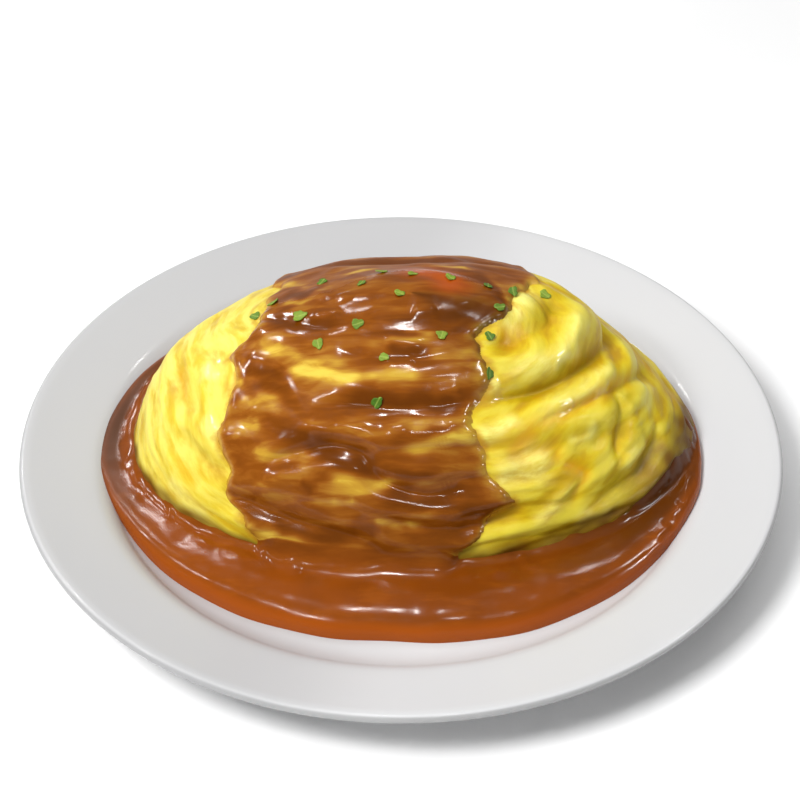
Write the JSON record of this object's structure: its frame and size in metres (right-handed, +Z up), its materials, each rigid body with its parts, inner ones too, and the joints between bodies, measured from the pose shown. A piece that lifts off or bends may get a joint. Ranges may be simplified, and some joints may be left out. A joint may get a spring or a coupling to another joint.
{
  "type": "plated omurice",
  "caption": "Oval folded omelette mounded over rice on a round rimmed plate, with brown sauce poured across it in a band and pooled all round its foot.",
  "frame": {"origin": "centre of the plate's foot, on the surface it stands on", "axes": "+X along the omelette to the right as served, +Y away from the diner, +Z up"},
  "size_m": [0.24, 0.24, 0.072],
  "materials": {
    "plate": "glossy glaze, pale neutral grey",
    "egg": "soft cooked egg, moist, light yellow with golden folds",
    "sauce": "thick glossy brown sauce, paler where it lies thin",
    "herb": "chopped fresh parsley, matte"
  },
  "bodies": {
    "root": {"plate": "plate", "omelette": "egg", "sauce": "sauce"}
  },
  "joints": []
}
